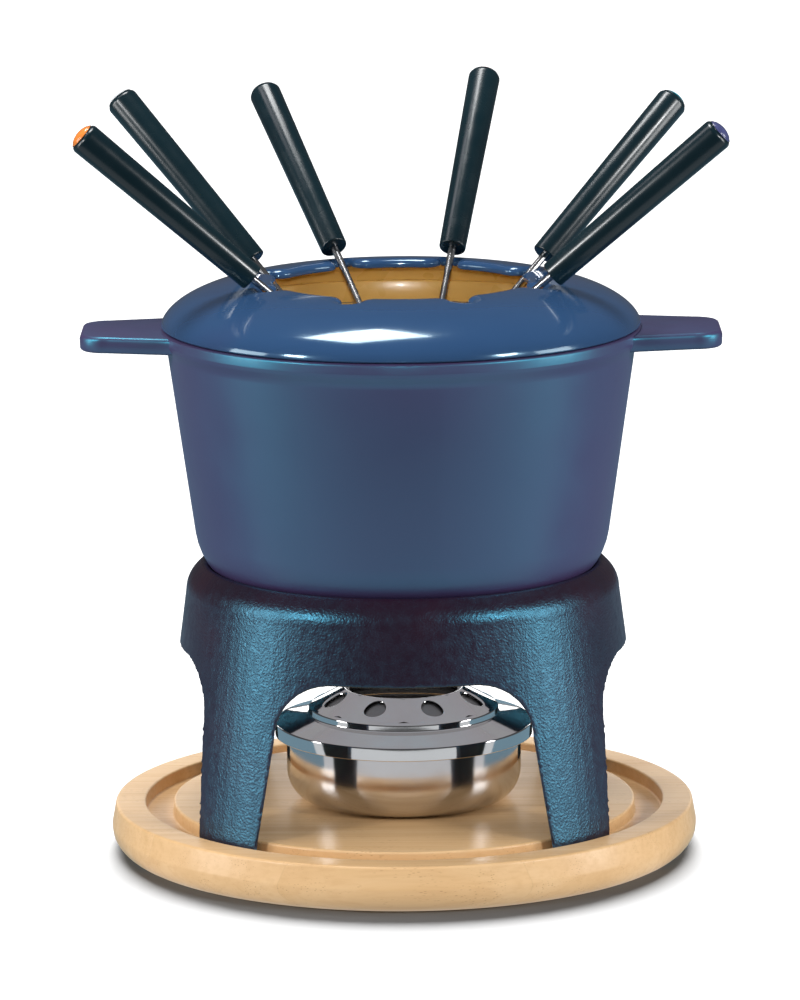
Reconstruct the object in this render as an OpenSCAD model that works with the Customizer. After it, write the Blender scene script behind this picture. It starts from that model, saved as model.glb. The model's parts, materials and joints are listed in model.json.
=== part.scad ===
// Cast-iron fondue pot set on a round wooden base.
// Millimetres, +Z up, origin at the centre of the base's underside, front towards -Y.
// Headings of forks and notches are turned from the front, positive towards +X.

/* [Wooden base] */
// Greatest radius of the base
base_r = 123.3; // [121:0.1:130]
// Height of the base
base_h = 20; // [18:0.5:24]
// Inner radius of the groove that the stand's feet sit in
groove_in_r = 97.3; // [96:0.1:97.3]
// Outer radius of the groove
groove_out_r = 109.1; // [106:0.1:112]
// Depth of the groove
groove_deep = 6; // [4:0.5:7]

/* [Stand] */
// Outer radius of the stand at its feet
stand_foot_r = 103.6; // [102:0.1:105]
// Outer radius where the shoulder begins
stand_top_r = 90.9; // [90:0.1:93]
// Height where the shoulder begins
shoulder_z = 110.5; // [108:0.5:112]
// Thickness of the cast wall
stand_wall = 5.2; // [4.5:0.1:6]
// Half width of the front and back arches at the feet
arch_foot_w = 61.2; // [60:0.1:63]
// Half width of the front and back arches where their top corners begin
arch_top_w = 53; // [52.6:0.1:55]
// Half width of the side arches at the feet
side_foot_w = 58.4; // [57:0.1:60]
// Half width of the side arches where their top corners begin
side_top_w = 49.8; // [49:0.1:52]
// Height of the top of each arch
arch_z = 87.3; // [84:0.1:88]
// Radius of the top corners of each arch
arch_corner_r = 24.5; // [16:0.5:28]

/* [Pot] */
// Height of the pot's underside
pot_z = 109.5; // [109:0.1:111]
// Outer radius where the straight wall begins
pot_low_r = 86.8; // [86:0.1:88]
// Radius of the pot's bottom corner
pot_corner_r = 30; // [26:0.5:32]
// Greatest radius of the rim
rim_r = 100; // [99:0.1:102]
// Height of the top of the rim
rim_z = 221.8; // [220:0.1:223]
// Thickness of the pot's wall
pot_wall = 4.5; // [4:0.1:5]
// Reach of each handle from the axis
handle_reach = 133.3; // [128:0.1:138]
// Width of each handle at the pot
handle_root_w = 58; // [52:0.5:62]
// Width of each handle near its end
handle_tip_w = 46; // [40:0.5:50]
// Thickness of each handle
handle_thick = 7; // [6:0.1:8]

/* [Fork ring] */
// Height of the ring's crest
crest_z = 241.3; // [239:0.1:243]
// Radius of the crest
crest_r = 56.5; // [55:0.1:58]
// Radius of the central opening
opening_r = 53; // [51:0.1:54]
// Thickness of the ring
ring_wall = 4; // [3.5:0.1:4.5]
// Number of fork notches
notches = 8; // [8]
// Width of each notch
notch_w = 8; // [7.8:0.1:9]
// Distance from the axis to the end of each notch
notch_reach = 64; // [63.5:0.1:65]
// Radius of the rounded corners at the mouth of each notch
notch_mouth_r = 7; // [5:0.5:8]
// Turn of the ring in the pot's rim
ring_turn = 2; // [0:0.5:3]

/* [Burner] */
// Outer radius of the bowl
bowl_r = 49.4; // [48:0.1:50]
// Radius of the bowl's flat underside
bowl_foot_r = 39; // [36:0.5:41]
// Outer radius of the cover's skirt
skirt_r = 54.2; // [53.5:0.1:54.2]
// Height of the bottom of the skirt
skirt_z = 47.5; // [47:0.1:49]
// Radius of the flame opening
flame_r = 24.4; // [22:0.1:26]
// Thickness of the sheet metal
sheet = 0.9; // [0.8:0.1:1.0]
// Radius of each vent hole
vent_r = 4.5; // [3.5:0.1:4.6]
// Number of vent holes
vents = 8; // [8]

/* [Forks] */
// Length of each fork's handle
grip_l = 92; // [88:1:96]
// Radius of the handle at its lower end
grip_low_r = 5.65; // [5.2:0.05:5.8]
// Radius of the handle at its outer end
grip_top_r = 6.8; // [6.2:0.05:7]
// Radius of the steel rod
rod_r = 1.6; // [1.4:0.05:1.6]
// Length of the rod and prongs below the handle
rod_l = 146; // [135:1:150]
// Width over the prongs
prong_w = 4.6; // [4.2:0.1:4.6]

/* [Hidden] */
$fn = 144;
gap = 0.3;
eps = 0.01;

// Base profile: a large rounding below, a slight taper above and a small top edge.
base_round = 9.5;
base_taper = 1.5;
base_edge = 1.6;
groove_z = base_h - groove_deep;

// Stand: one cone outside, then a rounded shoulder that ends in a 45 degree slope and a flat lip.
stand_slope = (stand_foot_r - stand_top_r) / (shoulder_z - groove_z);
shoulder_r = 12;
shoulder_turn = 45;
lip_z = 122.4;
seat_low_z = 114;
seat_under = 5;

// Pot: the wall leans out by pot_lean degrees, tangent to the bottom corner.
pot_slope = 0.1385;
pot_lean = atan(pot_slope);
corner_z = pot_z + pot_corner_r;
corner_c = pot_low_r - pot_corner_r * cos(pot_lean) + 0.03;
pot_floor = 5;
rim_band = 5.4;
rim_blend = 4;
handle_drop = 0.9;
handle_corner = 11;
handle_root_x = 92;
spigot_r = 92.6;
spigot_deep = 4.6;

// Fork ring: a superelliptic dome whose underside is parallel to its top.
dome_power = 1.8;
dome_z = rim_z + gap;
lip_r = 1.8;
plate_h = 2.6;
spigot_wall = 3;

// Burner heights and radii.
bowl_z = base_h + gap;
bowl_rise = 13;
bowl_wall = 1.2;
bowl_top = 53.1;
skirt_top = 53.2;
step_r = 40;
flange_z = 56.7;
step_z = 59.7;
cone_z = 68.2;
vent_at = 31;
cone_lean = atan((cone_z - step_z) / (step_r - flame_r));
pad_z = bowl_z + bowl_wall + 0.4;
pad_h = 14;
gauze_h = 0.8;
gauze_r = 46;
clamp_h = 2.4;
shutter_gap = 0.45;
shutter_out_r = 38.4;
shutter_in_r = 23;
lever_w = 8;
lever_reach = 60;
lever_z = 57.8;
lever_h = 1;
lever_up = 6;
vent_step = 360 / vents;

// Fork ends and prongs.
grip_round = 2.2;
grip_turn = 60;
rod_in_grip = 40;
rod_fit = 0.05;
cap_r = 5.5;
cap_deep = 1.5;
cap_dome = 1.0;
prong_l = 28;
prong_shoulder = 6;
prong_thick = 1.8;
prong_gap = 1.5;
prong_slot = 20;
prong_point = 4;

// Where each fork leans: the lower end of its handle lies on the ring by its notch.
fork_notch = [-67.5, -112.5, -157.5, 157.5, 112.5, 67.5];
fork_side = [-2.2, -0.4, 0.7, 0.5, 1, 1.7];
fork_foot_r = [66, 66, 66, 64.5, 67, 66];
fork_foot_z = [245.5, 245.5, 245.2, 244.5, 246, 245.3];
fork_heading = [-85, -119.5, -154, 166, 125, 83.5];
fork_rise = [41, 45, 40.5, 47, 41.5, 41];
cap_colours = ["darkorange", "white", "goldenrod", "firebrick", "teal", "midnightblue"];

// Points of an arc about c, from angle a0 to a1 in n steps.
function arc_pts(c, r, a0, a1, n) =
    [for (i = [0:n]) let (a = a0 + (a1 - a0) * i / n) [c[0] + r * cos(a), c[1] + r * sin(a)]];

// Points of an elliptic quarter from angle a0 to a1, rounder or squarer with its power.
function dome_pts(c, a, b, power, a0, a1, n) =
    [for (i = [0:n]) let (t = a0 + (a1 - a0) * i / n)
        [c[0] + a * pow(max(cos(t), 0), 2 / power), c[1] + b * pow(max(sin(t), 0), 2 / power)]];

// Radius of the pot's outside at height z, on the bottom corner.
function pot_corner_at(z, extra) =
    corner_c + sqrt(pow(pot_corner_r + extra, 2) - pow(z - corner_z, 2));

// Radius of the pot's straight outer wall at height z.
function pot_wall_at(z) = pot_low_r + pot_slope * (z - 135.2);

module wooden_base() {
    color("burlywood")
        difference() {
            rotate_extrude()
                polygon(concat(
                    [[0, 0]],
                    arc_pts([base_r - base_round, base_round], base_round, -90, 0, 10),
                    arc_pts([base_r - base_taper - base_edge, base_h - base_edge], base_edge, 0, 90, 5),
                    [[0, base_h]]));
            translate([0, 0, groove_z])
                difference() {
                    cylinder(r = groove_out_r, h = base_h);
                    translate([0, 0, -eps]) cylinder(r = groove_in_r, h = base_h);
                }
        }
}

// Cuts the arches at both ends of the Y axis, by their half widths at the feet and at the top corners.
module arch_cut(foot_w, top_w) {
    side_z = arch_z - arch_corner_r;
    low_w = foot_w + (foot_w - top_w) / (side_z - groove_z) * groove_z;
    reach = base_r + 10;
    rotate([90, 0, 0])
        translate([0, 0, -reach])
            linear_extrude(2 * reach)
                polygon(concat(
                    [[low_w, 0]],
                    arc_pts([top_w - arch_corner_r, side_z], arch_corner_r, 0, 90, 12),
                    arc_pts([arch_corner_r - top_w, side_z], arch_corner_r, 90, 180, 12),
                    [[-low_w, 0]]));
}

module stand() {
    shoulder_c = stand_top_r - shoulder_r;
    slope_r = shoulder_c + shoulder_r * cos(shoulder_turn);
    slope_z = shoulder_z + shoulder_r * sin(shoulder_turn);
    lip_out = slope_r - (lip_z - slope_z);
    seat_in = pot_corner_at(seat_low_z, gap);
    seat_steps = 6;
    inner_z = seat_low_z - seat_under - (stand_top_r - stand_wall - seat_in) * 0.5;
    color("midnightblue")
        difference() {
            rotate_extrude()
                polygon(concat(
                    [[stand_foot_r, groove_z + 0.02]],
                    arc_pts([shoulder_c, shoulder_z], shoulder_r, 0, shoulder_turn, 6),
                    [[lip_out, lip_z]],
                    [for (i = [0:seat_steps])
                        let (z = lip_z + (seat_low_z - lip_z) * i / seat_steps)
                            [pot_corner_at(z, gap), z]],
                    [[seat_in, seat_low_z - seat_under]],
                    [[stand_top_r - stand_wall + stand_slope * (shoulder_z - inner_z), inner_z]],
                    [[stand_foot_r - stand_wall, groove_z + 0.02]]));
            arch_cut(arch_foot_w, arch_top_w);
            rotate([0, 0, 90]) arch_cut(side_foot_w, side_top_w);
        }
}

module pot_handle() {
    root = handle_root_w / 2;
    tip = handle_tip_w / 2;
    end_x = handle_reach - handle_corner;
    translate([0, 0, rim_z - handle_drop - handle_thick])
        linear_extrude(handle_thick)
            polygon(concat(
                [[handle_root_x, root]],
                arc_pts([end_x, tip - handle_corner], handle_corner, 80, 0, 8),
                arc_pts([end_x, handle_corner - tip], handle_corner, 0, -80, 8),
                [[handle_root_x, -root]]));
}

module pot() {
    wall_top = rim_z - rim_band - rim_blend;
    inner_r = pot_corner_r - pot_wall;
    inner_low = pot_z + pot_floor + inner_r;
    color("steelblue")
        difference() {
            union() {
                rotate_extrude()
                    polygon(concat(
                        [[0, pot_z]],
                        arc_pts([corner_c, corner_z], pot_corner_r, -90, -pot_lean, 14),
                        [[pot_wall_at(wall_top), wall_top],
                         [pot_wall_at(wall_top) + 0.9, wall_top + 2.4],
                         [rim_r - 0.5, wall_top + rim_blend]],
                        arc_pts([rim_r - 1, rim_z - rim_band + 1], 1, -20, 0, 2),
                        arc_pts([rim_r - 1.2, rim_z - 1.2], 1.2, 0, 90, 4),
                        [[0, rim_z]]));
                pot_handle();
                mirror([1, 0, 0]) pot_handle();
            }
            rotate_extrude()
                polygon(concat(
                    [[0, pot_z + pot_floor]],
                    arc_pts([corner_c, inner_low], inner_r, -90, -pot_lean, 14),
                    [[pot_wall_at(rim_z - 5) - pot_wall, rim_z - 5],
                     [pot_wall_at(rim_z - 5) - pot_wall, rim_z + 1],
                     [0, rim_z + 1]]));
        }
}

// Outline of one notch, which opens to the axis between two rounded corners.
module notch() {
    half = notch_w / 2;
    mouth_y = half + notch_mouth_r;
    mouth_x = sqrt(pow(opening_r + notch_mouth_r, 2) - pow(mouth_y, 2));
    translate([notch_reach - half, 0]) circle(d = notch_w);
    translate([mouth_x - 1, -half]) square([notch_reach - half - mouth_x + 1, notch_w]);
    difference() {
        polygon([[0, 0], [mouth_x, -mouth_y], [mouth_x, mouth_y]]);
        translate([mouth_x, -mouth_y]) circle(r = notch_mouth_r);
        translate([mouth_x, mouth_y]) circle(r = notch_mouth_r);
    }
}

module fork_ring() {
    dome_r = rim_r - crest_r;
    dome_h = crest_z - dome_z;
    steps = 18;
    color("royalblue")
        rotate([0, 0, ring_turn])
            difference() {
                rotate_extrude()
                    polygon(concat(
                        dome_pts([crest_r, dome_z], dome_r, dome_h, dome_power, 0, 90, steps),
                        arc_pts([opening_r + lip_r, crest_z - lip_r - 0.6], lip_r, 100, 180, 5),
                        arc_pts([opening_r + lip_r, crest_z - ring_wall + 0.9], lip_r, 180, 260, 5),
                        dome_pts([crest_r, dome_z + plate_h], dome_r - ring_wall - 2,
                            dome_h - plate_h - ring_wall, dome_power, 90, 4, steps),
                        [[spigot_r - spigot_wall, dome_z + plate_h],
                         [spigot_r - spigot_wall, rim_z - spigot_deep],
                         [spigot_r, rim_z - spigot_deep],
                         [spigot_r, dome_z]]));
                for (k = [0:notches - 1])
                    rotate([0, 0, 360 / notches * (k + 0.5) - 90])
                        translate([0, 0, crest_z - 20])
                            linear_extrude(30)
                                notch();
            }
}

module burner_bowl() {
    side = bowl_r - bowl_foot_r;
    color("silver")
        rotate_extrude()
            polygon(concat(
                [[0, bowl_z]],
                dome_pts([bowl_foot_r, bowl_z + bowl_rise], side, -bowl_rise, 2, 90, 0, 12),
                [[bowl_r, bowl_top], [bowl_r - bowl_wall, bowl_top]],
                dome_pts([bowl_foot_r, bowl_z + bowl_rise], side - bowl_wall, bowl_wall - bowl_rise,
                    2, 0, 90, 12),
                [[0, bowl_z + bowl_wall]]));
}

module burner_pad() {
    pad_low = 8;
    color("gainsboro")
        translate([0, 0, pad_z])
            rotate_extrude()
                polygon([[0, 0], [bowl_foot_r, 0], [gauze_r + 1, pad_low], [gauze_r + 1, pad_h], [0, pad_h]]);
}

module burner_gauze() {
    color("darkgray")
        translate([0, 0, pad_z + pad_h + eps])
            cylinder(r = gauze_r, h = gauze_h);
}

module burner_gauze_ring() {
    color("silver")
        translate([0, 0, pad_z + pad_h + gauze_h + 2 * eps])
            difference() {
                cylinder(r = bowl_r - bowl_wall - 0.05, h = clamp_h);
                translate([0, 0, -1]) cylinder(r = gauze_r - 3, h = clamp_h + 2);
            }
}

// Vent holes square to the cone, the first one turned by first.
module vent_holes(first) {
    for (k = [0:vents - 1])
        rotate([0, 0, first + vent_step * k])
            translate([vent_at, 0, step_z + (step_r - vent_at) * tan(cone_lean)])
                rotate([0, cone_lean, 0])
                    cylinder(r = vent_r, h = 12, center = true);
}

module burner_cover() {
    cone_drop = sheet / cos(cone_lean);
    flange_lean = atan((flange_z - skirt_top) / (skirt_r - step_r));
    flange_drop = sheet / cos(flange_lean);
    slot_z = lever_z - 0.4;
    slot_h = 1.5;
    lever_turn = asin(lever_w / 2 / step_r) + 1;
    color("silver")
        difference() {
            rotate_extrude()
                polygon([
                    [skirt_r, skirt_z],
                    [skirt_r, skirt_top],
                    [step_r, flange_z],
                    [step_r, step_z],
                    [flame_r, cone_z],
                    [flame_r, cone_z - cone_drop],
                    [step_r - sheet, step_z - cone_drop + sheet * tan(cone_lean)],
                    [step_r - sheet, flange_z - flange_drop],
                    [skirt_r - sheet, skirt_top - flange_drop],
                    [skirt_r - sheet, skirt_z]]);
            vent_holes(vent_step / 2);
            translate([0, 0, slot_z])
                rotate([0, 0, 90 - lever_turn])
                    rotate_extrude(angle = vent_step / 2 + 2 * lever_turn)
                        translate([step_r - 3, 0]) square([6, slot_h]);
        }
}

module burner_regulator() {
    drop = (sheet + shutter_gap) / cos(cone_lean);
    thick = sheet / cos(cone_lean);
    top_in = step_z + (step_r - shutter_in_r) * tan(cone_lean) - drop;
    top_out = step_z + (step_r - shutter_out_r) * tan(cone_lean) - drop;
    color("gray")
        union() {
            difference() {
                rotate_extrude()
                    polygon([
                        [shutter_in_r, top_in],
                        [shutter_in_r, top_in - thick],
                        [shutter_out_r, top_out - thick],
                        [shutter_out_r, top_out]]);
                vent_holes(0);
            }
            translate([-lever_w / 2, shutter_out_r - 1.4, lever_z])
                cube([lever_w, lever_reach - shutter_out_r + 1.4, lever_h]);
            translate([-lever_w / 2, lever_reach - lever_h, lever_z])
                cube([lever_w, lever_h, lever_up]);
        }
}

// Puts its children on fork k: +Z runs up the fork from the lower end of its handle.
module on_fork(k) {
    at = fork_notch[k] + ring_turn + fork_side[k];
    translate([fork_foot_r[k] * sin(at), -fork_foot_r[k] * cos(at), fork_foot_z[k]])
        rotate([90 - fork_rise[k], 0, fork_heading[k]])
            children();
}

module fork_handle(k) {
    color([0.06, 0.12, 0.15])
        on_fork(k)
            rotate_extrude()
                polygon(concat(
                    [[rod_r + rod_fit, 0]],
                    arc_pts([grip_low_r - 0.8, 0.8], 0.8, -90, 0, 3),
                    arc_pts([grip_top_r - grip_round, grip_l - grip_round], grip_round, 0, grip_turn, 6),
                    [[cap_r + rod_fit, grip_l - grip_round * (1 - sin(grip_turn))],
                     [cap_r + rod_fit, grip_l - cap_deep],
                     [0, grip_l - cap_deep],
                     [0, rod_in_grip],
                     [rod_r + rod_fit, rod_in_grip]]));
}

module fork_rod(k) {
    prong_z = prong_l - rod_l;
    color("silver")
        on_fork(k)
            union() {
                translate([0, 0, prong_z - prong_shoulder / 2])
                    cylinder(r = rod_r, h = rod_in_grip - prong_z + prong_shoulder / 2 - 0.1);
                translate([0, prong_thick / 2, -rod_l])
                    rotate([90, 0, 0])
                        linear_extrude(prong_thick)
                            difference() {
                                polygon([
                                    [-rod_r, prong_l],
                                    [-prong_w / 2, prong_l - prong_shoulder],
                                    [-prong_w / 2, prong_point],
                                    [-(prong_w + prong_gap) / 4, 0],
                                    [(prong_w + prong_gap) / 4, 0],
                                    [prong_w / 2, prong_point],
                                    [prong_w / 2, prong_l - prong_shoulder],
                                    [rod_r, prong_l]]);
                                translate([-prong_gap / 2, -1]) square([prong_gap, prong_slot + 1]);
                            }
            }
}

module fork_cap(k) {
    edge_h = 0.5;
    ball_r = (cap_r * cap_r + cap_dome * cap_dome) / (2 * cap_dome);
    half_angle = asin(cap_r / ball_r);
    rise = grip_l + edge_h + cap_dome;
    color(cap_colours[k])
        on_fork(k)
            rotate_extrude()
                polygon(concat(
                    [[0, grip_l - cap_deep + eps], [cap_r, grip_l - cap_deep + eps]],
                    arc_pts([0, rise - ball_r], ball_r, 90 - half_angle, 90, 8)));
}

wooden_base();
stand();
pot();
fork_ring();
burner_bowl();
burner_pad();
burner_gauze();
burner_gauze_ring();
burner_cover();
burner_regulator();
for (k = [0:5]) {
    fork_handle(k);
    fork_rod(k);
    fork_cap(k);
}
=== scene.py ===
"""Looks of the cast-iron fondue pot set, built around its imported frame.

Lengths in metres, +Z up, front towards -Y.
"""

import json
import math

import bmesh
import bpy
import numpy as np
from mathutils import Matrix, Vector, noise


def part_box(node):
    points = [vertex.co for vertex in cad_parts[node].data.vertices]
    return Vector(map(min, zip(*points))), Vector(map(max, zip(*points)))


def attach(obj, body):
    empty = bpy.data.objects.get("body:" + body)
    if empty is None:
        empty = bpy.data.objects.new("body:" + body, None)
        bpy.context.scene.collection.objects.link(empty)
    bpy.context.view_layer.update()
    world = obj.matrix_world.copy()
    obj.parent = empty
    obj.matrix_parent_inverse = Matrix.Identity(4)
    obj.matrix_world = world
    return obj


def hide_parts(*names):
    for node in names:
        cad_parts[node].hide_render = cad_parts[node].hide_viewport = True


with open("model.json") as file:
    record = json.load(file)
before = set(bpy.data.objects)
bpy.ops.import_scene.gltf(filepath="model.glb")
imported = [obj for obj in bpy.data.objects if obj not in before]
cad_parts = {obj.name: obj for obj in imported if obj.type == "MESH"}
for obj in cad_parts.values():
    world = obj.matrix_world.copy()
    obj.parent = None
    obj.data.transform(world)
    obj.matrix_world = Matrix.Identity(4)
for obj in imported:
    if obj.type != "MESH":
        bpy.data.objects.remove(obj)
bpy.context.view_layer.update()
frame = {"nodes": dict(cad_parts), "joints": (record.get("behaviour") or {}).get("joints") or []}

MM = 0.001
TAU = 2 * math.pi
NO_LENGTH = 1e-9
MERGE = 1e-7
NEARLY_ZERO = 1e-6
# Segments round a large turned piece, a fork's handle, its cap and its rod.
FULL_TURN = 288
GRIP_TURN = 96
CAP_TURN = 72
ROD_TURN = 48
FORKS = range(1, 7)


# ---------------------------------------------------------------- measures from the frame

def top(node):
    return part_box(node)[1].z


def low(node):
    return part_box(node)[0].z


def reach(node):
    """Radius of a round node about the Z axis."""
    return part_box(node)[1].y


BASE_R = reach("wooden_base")
BASE_TOP = top("wooden_base")
GROOVE_FLOOR = low("stand")
POT_Z = low("pot")
RIM_TOP = top("pot")
RIM_R = reach("pot")
HANDLE_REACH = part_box("pot")[1].x
CREST_Z = top("fork_ring")
BOWL_Z = low("burner_bowl")
BOWL_R = reach("burner_bowl")
BOWL_TOP = top("burner_bowl")
SKIRT_R = reach("burner_cover")
SKIRT_Z = low("burner_cover")
CONE_TOP = top("burner_cover")


# ---------------------------------------------------------------- outlines

def rounded(corners, steps=6):
    """Corner points (r, z, fillet) joined by straight lines, with each corner rounded by its fillet."""
    straight = math.radians(88)
    out = []
    n = len(corners)
    for i, (x, z, fillet) in enumerate(corners):
        here = Vector((x, z))
        before = Vector(corners[i - 1][:2]) - here
        after = Vector(corners[(i + 1) % n][:2]) - here
        if fillet <= 0 or min(before.length, after.length) < NO_LENGTH:
            out.append(here)
            continue
        before.normalize()
        after.normalize()
        half = before.angle(after) / 2
        if half > straight:
            out.append(here)
            continue
        setback = fillet / math.tan(half)
        centre = here + (before + after).normalized() * (fillet / math.sin(half))
        start = here + before * setback - centre
        end = here + after * setback - centre
        turn = start.angle_signed(end)
        for k in range(steps + 1):
            a = -turn * k / steps
            out.append(centre + Matrix.Rotation(a, 2) @ start)
    return out


def lerp(a, b, t):
    return a + (b - a) * t


# ---------------------------------------------------------------- meshes

def add_object(name, data):
    obj = bpy.data.objects.new(name, data)
    bpy.context.scene.collection.objects.link(obj)
    return obj


def new_object(name, verts, faces):
    mesh = bpy.data.meshes.new(name)
    mesh.from_pydata([tuple(v) for v in verts], [], faces)
    mesh.validate()
    return add_object(name, mesh)


def fix_normals(obj, merge=MERGE, face_up=False):
    """Merges doubles and turns the faces outward, or upward for an open sheet."""
    bm = bmesh.new()
    bm.from_mesh(obj.data)
    bmesh.ops.remove_doubles(bm, verts=bm.verts, dist=merge)
    bmesh.ops.recalc_face_normals(bm, faces=bm.faces)
    if face_up and sum(f.normal.z * f.calc_area() for f in bm.faces) < 0:
        bmesh.ops.reverse_faces(bm, faces=bm.faces)
    bm.to_mesh(obj.data)
    bm.free()


def smooth(mesh, crease=0):
    """Smooth shading. Edges that turn by more than the crease, in degrees, stay sharp."""
    mesh.shade_smooth()
    if crease:
        mesh.set_sharp_from_angle(angle=math.radians(crease))


def apply_modifiers(obj):
    graph = bpy.context.evaluated_depsgraph_get()
    mesh = bpy.data.meshes.new_from_object(obj.evaluated_get(graph))
    obj.modifiers.clear()
    obj.data = mesh
    return mesh


def grid_faces(rows, cols, wrap_rows=False):
    """Quads of a grid whose vertex (row, col) has index row * cols + col. The columns close into a ring."""
    faces = []
    for i in range(rows if wrap_rows else rows - 1):
        for j in range(cols):
            a = i * cols + j
            b = i * cols + (j + 1) % cols
            c = ((i + 1) % rows) * cols + (j + 1) % cols
            d = ((i + 1) % rows) * cols + j
            faces.append((a, b, c, d))
    return faces


def end_faces(rows, cols):
    """The two faces that close the ends of a grid which is a tube."""
    return [tuple(range(cols)), tuple(range((rows - 1) * cols, rows * cols))]


def lathe(name, outline, segments=FULL_TURN, closed=True, crease=40, matrix=None):
    """Turns an outline of (r, z) about Z. Points on the axis become one vertex each once doubles are merged."""
    verts = []
    for r, z in outline:
        for j in range(segments):
            a = TAU * j / segments
            verts.append((max(r, 0) * math.cos(a), max(r, 0) * math.sin(a), z))
    obj = new_object(name, verts, grid_faces(len(outline), segments, wrap_rows=closed))
    fix_normals(obj)
    smooth(obj.data, crease)
    if matrix is not None:
        obj.data.transform(matrix)
    return obj


def join(name, parts):
    """One object of several parts, which keep their own shading."""
    bm = bmesh.new()
    for part in parts:
        bm.from_mesh(part.data)
    mesh = bpy.data.meshes.new(name)
    bm.to_mesh(mesh)
    bm.free()
    for part in parts:
        bpy.data.objects.remove(part)
    return add_object(name, mesh)


def place(obj, body, nodes, material):
    """Rides a finished piece on its body, in place of its CAD nodes."""
    obj.data.materials.append(material)
    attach(obj, body)
    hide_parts(*nodes)
    return obj


# ---------------------------------------------------------------- material helpers

class Nodes:
    """A material's node tree, with short calls for the nodes used here."""

    def __init__(self, name):
        self.material = bpy.data.materials.new(name)
        self.material.use_nodes = True
        self.tree = self.material.node_tree
        self.shader = self.tree.nodes["Principled BSDF"]

    def add(self, kind, inputs=None, **settings):
        node = self.tree.nodes.new(kind)
        for key, value in settings.items():
            setattr(node, key, value)
        for key, value in (inputs or {}).items():
            self.set(node, key, value)
        return node

    def set(self, node, key, value):
        if isinstance(value, bpy.types.NodeSocket):
            self.tree.links.new(value, node.inputs[key])
        else:
            node.inputs[key].default_value = value

    def shade(self, **inputs):
        for key, value in inputs.items():
            self.set(self.shader, key.replace("_", " "), value)

    def coords(self, scale=(1, 1, 1)):
        return self.stretch(self.add("ShaderNodeTexCoord").outputs["Object"], scale)

    def stretch(self, vector, scale):
        return self.add("ShaderNodeMapping", {"Vector": vector, "Scale": scale}).outputs[0]

    def noise(self, vector, scale, detail=2.0, roughness=0.5, distortion=0.0):
        return self.add("ShaderNodeTexNoise", {
            "Vector": vector, "Scale": scale, "Detail": detail, "Roughness": roughness,
            "Distortion": distortion}).outputs["Fac"]

    def voronoi(self, vector, scale, feature="F1"):
        return self.add("ShaderNodeTexVoronoi", {"Vector": vector, "Scale": scale},
                        feature=feature).outputs["Distance"]

    def ramp(self, value, *stops):
        node = self.add("ShaderNodeValToRGB", {"Fac": value})
        elements = node.color_ramp.elements
        while len(elements) < len(stops):
            elements.new(0.5)
        for element, (at, colour) in zip(elements, stops):
            element.position = at
            element.color = (*colour, 1)
        return node.outputs["Color"]

    def mix(self, factor, a, b):
        """Mixes two colours. Inputs 6 and 7 and output 2 are the colour ones of a mix node."""
        a, b = (value if isinstance(value, bpy.types.NodeSocket) else (*value, 1) for value in (a, b))
        return self.add("ShaderNodeMix", {0: factor, 6: a, 7: b}, data_type="RGBA").outputs[2]

    def math(self, operation, a, b=0.0, c=0.0):
        return self.add("ShaderNodeMath", {0: a, 1: b, 2: c}, operation=operation).outputs[0]

    def between(self, value, low_in, high_in, low_out=0.0, high_out=1.0):
        return self.add("ShaderNodeMapRange", {
            "Value": value, "From Min": low_in, "From Max": high_in,
            "To Min": low_out, "To Max": high_out}).outputs[0]

    def split(self, vector):
        return self.add("ShaderNodeSeparateXYZ", {0: vector}).outputs

    def bump(self, height, distance, strength=1.0, under=None):
        inputs = {"Height": height, "Distance": distance, "Strength": strength}
        if under is not None:
            inputs["Normal"] = under
        return self.add("ShaderNodeBump", inputs).outputs[0]


def enamel_blue():
    """Blue vitreous enamel over cast iron: glassy, with faint orange peel and slow drifts of hue."""
    m = Nodes("enamel_blue")
    where = m.coords()
    drift = m.noise(where, 9, 3)
    pooled = m.noise(where, 2600, 2)
    blue = m.ramp(drift, (0.35, (0.022, 0.060, 0.145)), (0.6, (0.026, 0.070, 0.165)),
                  (0.75, (0.036, 0.058, 0.14)))
    colour = m.mix(m.between(pooled, 0.62, 0.75, 0, 0.25), blue, (0.012, 0.03, 0.09))
    peel = m.noise(where, 420, 2)
    ripple = m.noise(where, 90, 1)
    m.shade(Base_Color=colour, Roughness=m.between(m.noise(where, 30, 3), 0.3, 0.7, 0.1, 0.17),
            Specular_IOR_Level=0.5, Specular_Tint=(0.5, 0.85, 1.0, 1), Coat_Weight=0.35, Coat_Roughness=0.04,
            Normal=m.bump(peel, 0.00003, 0.5, under=m.bump(ripple, 0.0002, 0.25)))
    return m.material


def enamel_body():
    """The pot's outside: the same blue with a satin bloom."""
    m = Nodes("enamel_body")
    where = m.coords()
    drift = m.noise(where, 7, 2)
    blue = m.ramp(drift, (0.3, (0.058, 0.031, 0.096)), (0.55, (0.064, 0.032, 0.100)),
                  (0.75, (0.070, 0.030, 0.095)))
    peel = m.noise(where, 520, 3)
    m.shade(Base_Color=blue, Roughness=m.between(m.noise(where, 45, 3), 0.3, 0.7, 0.36, 0.44),
            IOR=1.72, Specular_IOR_Level=1.0, Specular_Tint=(0.05, 0.74, 1.0, 1),
            Coat_Weight=0.06, Coat_Roughness=0.08, Normal=m.bump(peel, 0.00004, 0.4))
    return m.material


def enamel_ochre():
    """Ochre enamel inside the pot, brushed faintly round the wall."""
    m = Nodes("enamel_ochre")
    where = m.coords()
    bands = m.noise(m.coords((0.3, 0.3, 2.2)), 60, 3)
    colour = m.ramp(bands, (0.3, (0.70, 0.445, 0.125)), (0.7, (0.77, 0.50, 0.145)))
    m.shade(Base_Color=colour, Roughness=m.between(m.noise(where, 60, 2), 0.3, 0.7, 0.24, 0.34),
            Coat_Weight=0.1, Coat_Roughness=0.1, Normal=m.bump(m.noise(where, 500, 2), 0.00004, 0.4))
    return m.material


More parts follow.
